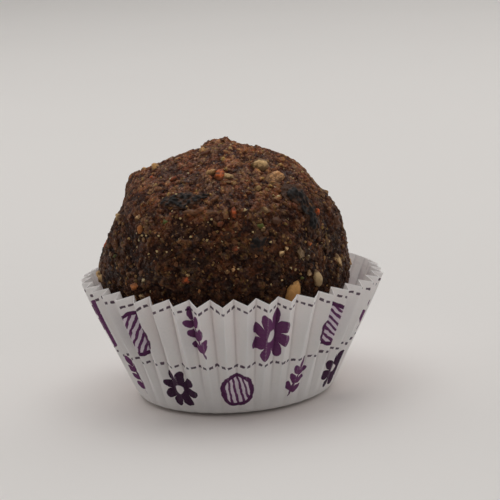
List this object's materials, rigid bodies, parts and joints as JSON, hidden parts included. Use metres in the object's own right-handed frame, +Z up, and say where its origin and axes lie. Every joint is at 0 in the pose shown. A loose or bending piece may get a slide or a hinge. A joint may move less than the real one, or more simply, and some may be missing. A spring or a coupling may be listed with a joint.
{
  "type": "flaxseed laddu in a paper case",
  "caption": "Round hand-pressed sweet of dates, chopped nuts and ground flax, standing in a small pleated paper case.",
  "frame": {"origin": "middle of the paper case's flat base, on the table", "axes": "+Z up, -Y towards the side that the picture shows, +X to the right of it"},
  "size_m": [0.0498, 0.0502, 0.0415],
  "materials": {
    "paste": "dark brown date and nut paste, slightly moist",
    "case_paper": "thin white greaseproof paper with a printed purple flower pattern"
  },
  "bodies": {
    "root": {"laddu": "paste", "paper_case": "case_paper"}
  },
  "joints": []
}
